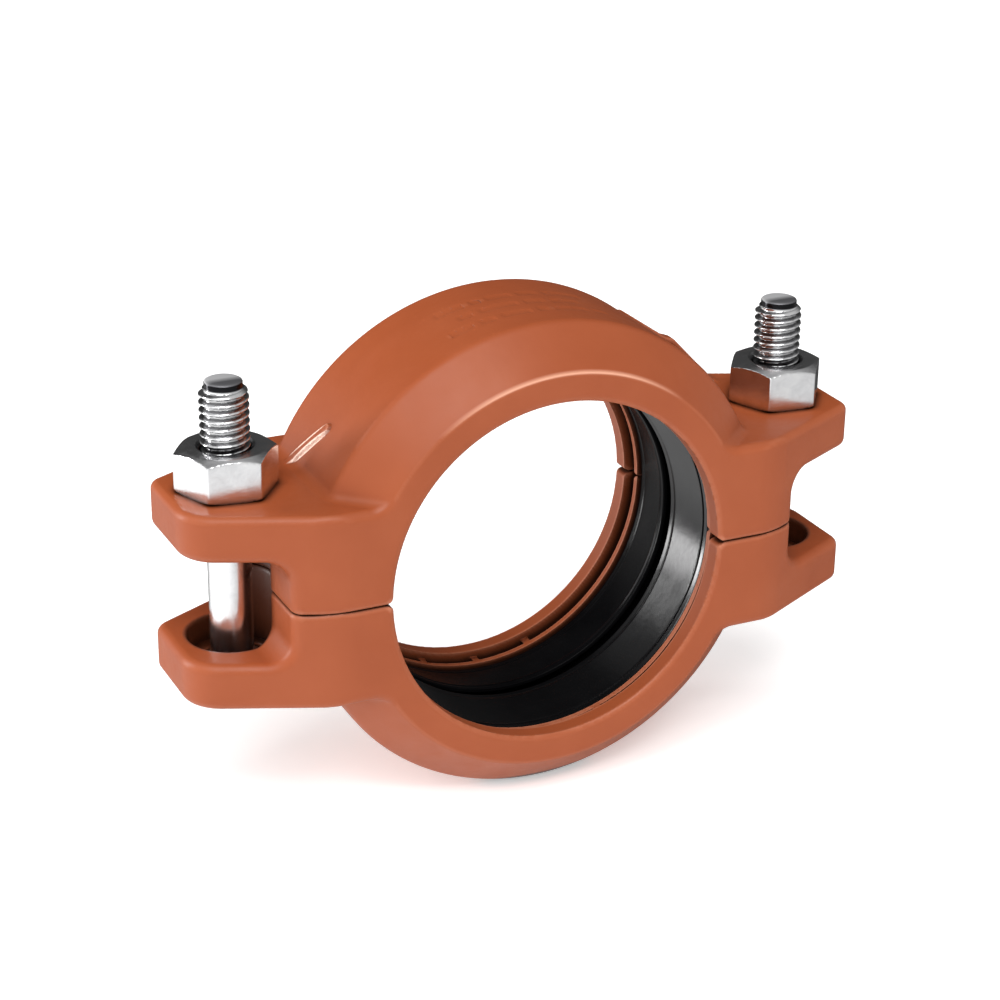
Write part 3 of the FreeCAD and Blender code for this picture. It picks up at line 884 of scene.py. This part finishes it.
def make_floor():
    """Plain pale floor with a barely visible grain."""
    look = Look("pale_floor")
    grain = look.ramp(look.noise(30, 4, 0.6), [(0.3, grey(0.94)), (0.7, grey(0.96))])
    look.wire("Base Color", grain)
    look.set(Roughness=0.9, Specular_IOR_Level=0.0, Emission_Strength=0.35)
    look.set(Emission_Color=(*WHITE, 1))
    return look.material


def dress(piece, material):
    """Give a piece its one material."""
    piece.data.materials.clear()
    piece.data.materials.append(material)


# heights in metres of the dark band painted below the bolt's cut end, and of the end itself, which
# is painted darker towards the front
TIP_DARK_BAND = (0.0400, 0.0402)
TIP_FACE = (0.0411, 0.0413)

enamel = make_enamel()
for piece in (upper, lower):
    dress(piece, enamel)
dress(gasket, make_rubber())
bolt_steel = make_steel("zinc_bolt", (1, 1, 0.15), (TIP_DARK_BAND, TIP_FACE))
nut_steel = make_steel("zinc_nut", (0.25, 1, 1))
for piece in bolts:
    dress(piece, bolt_steel)
for piece in nuts:
    dress(piece, nut_steel)


# ---------------------------------------------------------------- camera
AZIMUTH = math.radians(-25.886)
ELEVATION = math.radians(23.762)
ROLL = math.radians(0.804)
DISTANCE = 0.50255
LENS = 89.69
SENSOR = 36
SHIFT = (-0.0120, 0.0311)


def place_camera():
    """The camera at the photograph's viewing angle, aimed at the middle of the pipe."""
    camera = bpy.data.objects.new("camera", bpy.data.cameras.new("camera"))
    bpy.context.scene.collection.objects.link(camera)
    level = math.cos(ELEVATION)
    back = Vector(
        (math.sin(AZIMUTH) * level, -math.cos(AZIMUTH) * level, math.sin(ELEVATION))
    )
    right = Vector((0, 0, 1)).cross(back).normalized()
    up = back.cross(right)
    right, up = (
        right * math.cos(ROLL) + up * math.sin(ROLL),
        up * math.cos(ROLL) - right * math.sin(ROLL),
    )
    turn = Matrix((right, up, back)).transposed()
    camera.matrix_world = Matrix.Translation(back * DISTANCE) @ turn.to_4x4()
    camera.data.lens = LENS
    camera.data.sensor_width = SENSOR
    camera.data.shift_x, camera.data.shift_y = SHIFT
    camera.data.clip_start, camera.data.clip_end = 0.01, 20
    bpy.context.scene.camera = camera


# ---------------------------------------------------------------- studio
# Brightness of the surroundings by direction: its level and its slopes along X and Y, the shade
# behind the object and right of a bright band, the shade high up behind, the least value, and
# the level and slope below the horizon, which only mirrors see.
WORLD_LEVEL = 0.62
WORLD_ACROSS = -0.15
WORLD_ALONG = -0.05
WORLD_BACK = 0.65
WORLD_LEFT_BAND = 0.5
WORLD_BAND_SHARP = 3.3
WORLD_BEHIND = 0.5
WORLD_LEAST = 0.05
WORLD_BELOW = 0.7
WORLD_BELOW_ACROSS = -1.2

FLOOR_HALF = 6
FLOOR_GAP = 0.0003
SUN_POWER = 1.9
SUN_ANGLE = math.radians(50)
SUN_AIM = (0.30, 0.45, -0.85)


def make_world():
    """A soft studio: brighter on the left and in front, darker high up behind."""
    world = bpy.data.worlds.new("studio")
    world.use_nodes = True
    nodes, links = world.node_tree.nodes, world.node_tree.links
    background = nodes["Background"]
    split = nodes.new("ShaderNodeSeparateXYZ")
    links.new(nodes.new("ShaderNodeTexCoord").outputs["Generated"], split.inputs["Vector"])

    def math_node(kind, first, second):
        node = nodes.new("ShaderNodeMath")
        node.operation = kind
        for socket, value in zip(node.inputs, (first, second)):
            if isinstance(value, (int, float)):
                socket.default_value = value
            else:
                links.new(value, socket)
        return node.outputs[0]

    x, y, z = (split.outputs[name] for name in "XYZ")
    level = math_node("ADD", math_node("MULTIPLY", x, WORLD_ACROSS), WORLD_LEVEL)
    level = math_node("ADD", level, math_node("MULTIPLY", y, WORLD_ALONG))
    back = math_node("MAXIMUM", y, 0)
    right_of = math_node("MULTIPLY", math_node("ADD", x, WORLD_LEFT_BAND), WORLD_BAND_SHARP)
    right_of = math_node("MINIMUM", math_node("MAXIMUM", right_of, 0), 1)
    shade = math_node("MULTIPLY", math_node("MULTIPLY", back, right_of), WORLD_BACK)
    level = math_node("SUBTRACT", level, shade)
    behind = math_node("MULTIPLY", back, math_node("MAXIMUM", z, 0))
    level = math_node("SUBTRACT", level, math_node("MULTIPLY", behind, WORLD_BEHIND))
    below = math_node("MAXIMUM", math_node("MULTIPLY", z, -1), 0)
    tilt = math_node("ADD", math_node("MULTIPLY", x, WORLD_BELOW_ACROSS), WORLD_BELOW)
    level = math_node("ADD", level, math_node("MULTIPLY", below, tilt))
    links.new(math_node("MAXIMUM", level, WORLD_LEAST), background.inputs["Strength"])
    background.inputs["Color"].default_value = (*WHITE, 1)
    bpy.context.scene.world = world


def lay_floor():
    """A wide floor just under the object, which mirrors do not see."""
    signs = ((-1, -1), (1, -1), (1, 1), (-1, 1))
    mesh = bpy.data.meshes.new("floor")
    corners = [(x * FLOOR_HALF, y * FLOOR_HALF, 0) for x, y in signs]
    mesh.from_pydata(corners, [], [(0, 1, 2, 3)])
    floor = bpy.data.objects.new("floor", mesh)
    bpy.context.scene.collection.objects.link(floor)
    floor.location.z = cad_low.z - FLOOR_GAP
    floor.visible_glossy = False
    dress(floor, make_floor())


def add_light(name, kind, power, direction, place=(0, 0, 0)):
    """A light that shines in a direction."""
    data = bpy.data.lights.new(name, kind)
    data.energy = power
    made = bpy.data.objects.new(name, data)
    bpy.context.scene.collection.objects.link(made)
    made.location = place
    made.rotation_mode = "QUATERNION"
    made.rotation_quaternion = direction.to_track_quat("-Z", "Y")
    return made


def area_light(name, place, aim, size, power, mirrored_by=None):
    """A soft rectangular light, or a card that only one piece mirrors."""
    made = add_light(name, "AREA", power, Vector(aim) - Vector(place), place)
    made.data.shape = "RECTANGLE"
    made.data.size, made.data.size_y = size
    made.visible_camera = False
    if mirrored_by:
        made.visible_diffuse = False
        lit = bpy.data.collections.new(name + "_lit")
        lit.objects.link(mirrored_by)
        made.light_linking.receiver_collection = lit


place_camera()
make_world()
lay_floor()
add_light("soft_sun", "SUN", SUN_POWER, Vector(SUN_AIM)).data.angle = SUN_ANGLE
area_light("left_strip", (-0.6, 0.35, 0.15), (0, 0, 0), (0.12, 0.5), 3)
area_light(
    "bore_card", (-0.123, 0.167, -0.037), (0.0355, -0.008, -0.009), (0.085, 0.055), 0.31, gasket
)
area_light("front_top", (-0.1, -0.5, 0.55), (0, 0, 0), (0.25, 0.12), 0.9)
bpy.context.scene.view_settings.view_transform = "Standard"
